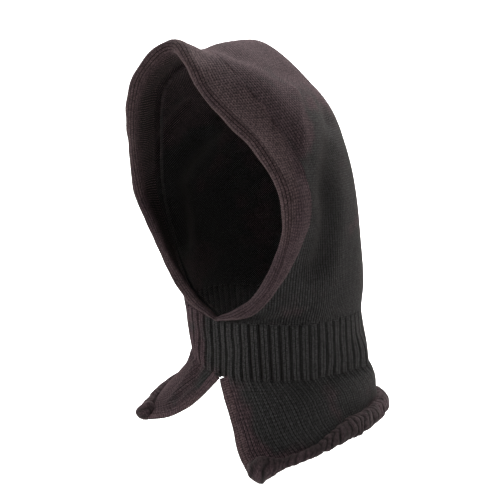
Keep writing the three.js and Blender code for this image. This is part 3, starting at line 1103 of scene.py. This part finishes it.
def evenly(path, spacing):
    """The same path with its points at equal distances."""
    along = lengths(path)
    spots = np.linspace(0, along[-1], int(along[-1] / spacing) + 1)
    return at_lengths(path, along, spots)


def from_axis(points):
    """The way out from the middle of the head: level round the neck, fanned over the crown."""
    ways = points - (0, 0.09 * HALF_DEPTH, 0)
    ways[..., 2] = np.maximum(0, points[..., 2] - 0.16 * HOOD_HEIGHT)
    return unit(ways)


def centre_line():
    """From behind the face band over the crown and down the back to the hem."""
    seam = extent("centre_seam")
    down = np.linspace(1, 0, 60)
    crown = hood_at(np.linspace(0.14, 0.98, 60), np.ones(60))
    back = hood_at(np.ones(60), down)
    neck = rib_at(np.ones(60), down)
    bib = bib_at(np.ones(60), down)
    bib = bib[bib[:, 2] > seam[0][2] + 2 * SEAM_RADIUS]
    whole = evenly(np.concatenate([crown, back[1:], neck[1:], bib[1:]]), 0.6)
    whole[:, 0] = 0
    # The corner behind the crown is rounded, as it is in the solid
    kernel = np.hanning(25) / np.hanning(25).sum()
    padded = np.concatenate([np.repeat(whole[:1], 12, 0), whole, np.repeat(whole[-1:], 12, 0)])
    return np.stack([np.convolve(padded[:, k], kernel, "valid") for k in range(3)], -1)


def face_ring_line():
    """All the way round behind the face band, where it is linked to the hood."""
    share = np.linspace(0, 1, 900)
    behind = hood_at(np.full(900, 0.028), share)
    behind[0, 0] = behind[-1, 0] = 0
    inward = behind - from_axis(behind) * SEAM_DEPTH
    inward = evenly(inward, 0.7)
    inward[0, 0] = inward[-1, 0] = 0
    return np.concatenate([inward, inward[-2:0:-1] * (-1, 1, 1)])


def make_tack(name):
    """Satin stitches side by side across the top of the slit."""
    low, high = extent("slit_bar_tack")
    middle, half = (low + high) / 2, (high - low) / 2
    across = np.linspace(-1, 1, 180)
    path = middle + across[:, None] * (half[0], 0, 0)
    angle = np.arange(28)[None] / 28 * 2 * math.pi
    thread = 0.82 + 0.18 * np.abs(np.sin(math.pi * across * half[0] / SATIN_THREAD))[:, None]
    ends = np.sqrt(1 - np.abs(across) ** 6 * 0.8)[:, None]
    size = thread * ends
    up, forward = np.array([0, 0, 1.0]), np.array([0, -1.0, 0])
    sections = (
        path[:, None]
        + up * (size * half[2] * np.sin(angle))[..., None]
        + forward * (size * half[1] * np.cos(angle))[..., None]
    )
    # The colour darkens between the satin threads, as painted shade
    depth = np.broadcast_to(thread * 2 - 1, size.shape) + 0 * angle
    return tube(name, 1, linking, sections, np.clip(depth, 0, 1),
                counts(across[:, None], angle))


def make_label(name):
    """A blank woven tape that hangs from the centre seam and curls a little at its foot."""
    low, high = extent("care_label")
    middle = (low + high) / 2
    wide, tall = high[0] - low[0], high[2] - low[2]
    across, up = np.meshgrid(np.linspace(-1, 1, 53), np.linspace(0, 1, 77))
    curl = -2.2 * (1 - up) ** 2 * (0.4 + across**2) - 0.25 * np.sin(2 * across + 5 * up)
    # The turned-under ends are double
    double = 0.18 * (ease(up, 0.9, 0.93) + ease(1 - up, 0.93, 0.96))
    x = middle[0] + across * wide / 2
    z = low[2] + up * tall
    grids = []
    for inner in (False, True):
        y = middle[1] + curl + (0.22 + double) * (1 if inner else -1)
        points = np.stack([x, y, z], -1)
        numbers = np.arange(x.size).reshape(x.shape)
        grids.append((points, numbers, np.ones(x.shape), counts(
            across * wide / 2 / WEAVE_PITCH, up * tall / WEAVE_PITCH
        )))
    return knit_piece(name, 1, tape, grids[0], grids[1])


# ---------------------------------------------------------------------------------------
# Every piece in its place


def show(piece, node):
    """A piece stands for a CAD solid and goes where the balaclava goes."""
    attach(piece, "root")
    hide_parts(node)
    return piece


for side, word, folds in ((1, "left", LEFT_BIB_FOLDS), (-1, "right", RIGHT_BIB_FOLDS)):
    hood = knit_piece(f"hood_{word}_knit", side, stocking, hood_layer(4, 2, False),
                      hood_layer(1, 1, True))
    show(hood, f"hood_{word}")
    rib = knit_piece(f"neck_rib_{word}_knit", side, ribbing, rib_layer(4, 2, False, folds),
                     rib_layer(2, 1, True, folds))
    show(rib, f"neck_rib_{word}")
    bib = knit_piece(f"bib_{word}_knit", side, bib_wool, bib_layer(4, 2, False, folds, side),
                     bib_layer(2, 1, True, folds, side))
    show(bib, f"bib_{word}")
    hem = show(make_hem(side, f"rolled_hem_{word}_knit"), f"rolled_hem_{word}")
    slit = show(make_slit_edge(side, f"slit_edge_{word}_knit"), f"slit_edge_{word}")

band = show(make_band("face_band_knit"), "face_band")

centre = centre_line()
centre_out = from_axis(centre)
ring = face_ring_line()
neck_join = rib_at(np.zeros(60), np.linspace(0, 0.82, 60))
straight = np.broadcast_to((0, -1.0, 0), neck_join.shape)
cords = {
    "centre_seam": make_cord(
        "centre_seam_cord", centre - centre_out * SEAM_DEPTH, centre_out, SEAM_RADIUS
    ),
    "face_band_seam": make_cord(
        "face_band_seam_cord", ring, from_axis(ring), SEAM_RADIUS, closed=True
    ),
    "front_neck_seam": make_cord(
        "front_neck_seam_cord", evenly(neck_join - straight * SEAM_DEPTH, 0.6),
        np.array([0, -1.0, 0]), SEAM_RADIUS
    ),
    "slit_bar_tack": make_tack("slit_bar_tack_stitches"),
}
for node, cord in cords.items():
    show(cord, node)
label = show(make_label("care_label_tape"), "care_label")

# ---------------------------------------------------------------------------------------
# Studio: a plain pale floor that runs up into a backdrop, soft light and the camera


def turn_to(thing, way):
    """Turns a camera or a lamp so that it looks this way, upright."""
    thing.rotation_mode = "QUATERNION"
    thing.rotation_quaternion = way.to_track_quat("-Z", "Y")


camera_data = bpy.data.cameras.new("camera")
camera = placed("camera", camera_data)
bpy.context.scene.camera = camera
TURN = math.radians(41)  # seen from the wearer's left
DIP = math.radians(9.79)  # and from a little above
camera_data.sensor_width = 36.0
camera_data.lens = 37.47
forward = Vector((-math.sin(TURN) * math.cos(DIP), math.cos(TURN) * math.cos(DIP),
                  -math.sin(DIP)))
camera.location = (0.33006, -0.38884, 0.0283)
turn_to(camera, forward)


def plain_paint(name, colour):
    finish, tree = new_finish(name)
    shader = tree.nodes["Principled BSDF"]
    shader.inputs["Base Color"].default_value = linear(colour)
    shader.inputs["Roughness"].default_value = 0.9
    return finish


# The balaclava hangs as it would on a stand, so the floor lies well below its hem
STAND = 0.14
FLOOR_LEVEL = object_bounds()[0][2] - STAND
sweep = []
for step in range(13):
    bend = math.radians(90) * step / 12
    sweep.append((3.0 + 1.5 * math.sin(bend), FLOOR_LEVEL + 1.5 * (1 - math.cos(bend))))
profile = [(-6.0, FLOOR_LEVEL)] + sweep + [(4.5, FLOOR_LEVEL + 6.0)]
floor_mesh = bpy.data.meshes.new("floor")
floor_points = [(x, y, z) for x in (-9.0, 9.0) for y, z in profile]
size = len(profile)
floor_faces = [(k, k + size, k + size + 1, k + 1) for k in range(size - 1)]
floor_mesh.from_pydata(floor_points, [], floor_faces)
floor_mesh.polygons.foreach_set("use_smooth", [True] * len(floor_faces))
floor_mesh.materials.append(plain_paint("pale_backdrop_paper", "#fdfdfc"))
floor = placed("floor", floor_mesh)
floor.rotation_euler = (0, 0, TURN)

world = bpy.data.worlds.new("studio")
world.use_nodes = True
world.node_tree.nodes["Background"].inputs["Color"].default_value = (1, 1, 1, 1)
world.node_tree.nodes["Background"].inputs["Strength"].default_value = 0.36
bpy.context.scene.world = world


def soft_light(name, place, target, size, power):
    data = bpy.data.lights.new(name, "AREA")
    data.shape = "DISK"
    data.size = size
    data.energy = power
    lamp = placed(name, data)
    lamp.location = place
    turn_to(lamp, Vector(target) - Vector(place))


for lamp in (
    ("from_above_behind", (0.1, 1.25, 2.0), (0, 0, 0), 1.2, 47),
    ("from_the_left", (1.9, -0.2, 1.2), (0, 0, 0), 1.0, 9),
    ("from_the_front", (-1.2, -1.3, 1.1), (0, 0, 0), 1.2, 25),
    ("on_the_backdrop", (-0.5, 0.9, 2.4), (-2.4, 2.9, 0.6), 1.5, 460),
):
    soft_light(*lamp)
bpy.context.scene.view_settings.view_transform = "Standard"
